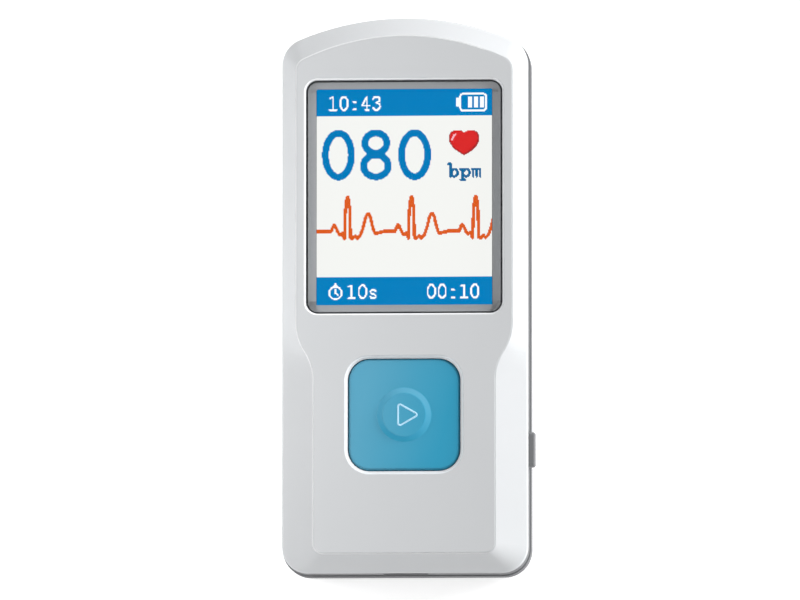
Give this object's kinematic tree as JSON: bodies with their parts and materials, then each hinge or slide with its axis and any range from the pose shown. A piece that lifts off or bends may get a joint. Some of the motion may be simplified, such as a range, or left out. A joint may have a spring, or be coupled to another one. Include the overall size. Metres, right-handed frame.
{
  "type": "handheld ecg monitor",
  "caption": "Slim handheld heart monitor with an arched top, waisted bevelled face, colour display, square blue start key, side power key, rear electrodes and a charging socket.",
  "frame": {"origin": "centre of the rest plane, which is the plane of the rear electrodes' faces", "axes": "+X to the side with the power key, +Y to the arched top end, +Z out of the display side"},
  "size_m": [0.0459, 0.1009, 0.015],
  "materials": {
    "front_shell": "light grey moulded ABS with a painted satin finish",
    "rear_shell": "mid grey moulded ABS, fine spark texture",
    "clear_lens": "clear acrylic window, polished",
    "grey_tape": "grey printed adhesive frame",
    "foam": "closed-cell foam",
    "lcd_glass": "display glass with a lit picture",
    "backlight": "white moulded light frame",
    "flex": "polyimide flexible circuit",
    "circuit_board": "green solder mask on glass-epoxy board",
    "chip": "black epoxy moulding",
    "metal_can": "bright metal can",
    "ceramic": "ceramic chip parts",
    "switch_black": "black switch housing",
    "switch_plunger": "pale switch plunger",
    "key_blue": "blue moulded key, satin",
    "key_grey": "mid grey moulded key",
    "socket_steel": "nickel-plated steel shell",
    "pouch": "aluminium laminate pouch",
    "header_white": "ivory connector moulding",
    "lead_insulation": "insulated lead",
    "electrode_metal": "stainless steel, brushed and polished",
    "zinc": "zinc-plated steel",
    "spring_bronze": "phosphor bronze leaf"
  },
  "bodies": {
    "housing": {"front_cover": "front_shell", "rear_cover": "rear_shell", "display_window": "clear_lens", "window_tape": "grey_tape", "lcd_gasket": "foam", "lcd_panel": "lcd_glass", "lcd_backlight": "backlight", "lcd_foam_pad": "foam", "lcd_flex": "flex", "main_board": "circuit_board", "processor_chip": "chip", "ecg_amplifier_chip": "chip", "memory_chip": "chip", "crystal": "metal_can", "board_passives": "ceramic", "main_switch_body": "switch_black", "power_switch_body": "switch_black", "usb_socket": "socket_steel", "usb_tongue": "switch_black", "battery": "pouch", "battery_tape": "foam", "battery_header": "header_white", "battery_plug": "header_white", "battery_leads": "lead_insulation", "electrode_upper": "electrode_metal", "electrode_lower_left": "electrode_metal", "electrode_lower_right": "electrode_metal", "electrode_nuts": "zinc", "electrode_springs": "spring_bronze", "case_screws": "zinc", "board_screws": "zinc"},
    "main_key": {"main_key": "key_blue"},
    "main_plunger": {"main_switch_plunger": "switch_plunger"},
    "power_key": {"power_key": "key_grey"},
    "power_plunger": {"power_switch_plunger": "switch_plunger"}
  },
  "joints": [
    {"name": "main_key_press", "type": "slide", "parent": "housing", "child": "main_key", "axis": [0, 0, -1], "range_m": [0, 0.0003], "stiffness_N_per_m": 100, "springref_m": -0.004},
    {"name": "main_plunger_slide", "type": "slide", "parent": "housing", "child": "main_plunger", "axis": [0, 0, -1], "range_m": [0, 0.0003]},
    {"name": "power_key_press", "type": "slide", "parent": "housing", "child": "power_key", "axis": [-1, 0, 0], "range_m": [0, 0.0003], "stiffness_N_per_m": 10, "springref_m": -0.01},
    {"name": "power_plunger_slide", "type": "slide", "parent": "housing", "child": "power_plunger", "axis": [-1, 0, 0], "range_m": [0, 0.0003]}
  ],
  "couplings": [
    {"joint": "main_plunger_slide", "follows": "main_key_press", "ratio": 1},
    {"joint": "power_plunger_slide", "follows": "power_key_press", "ratio": 1}
  ]
}
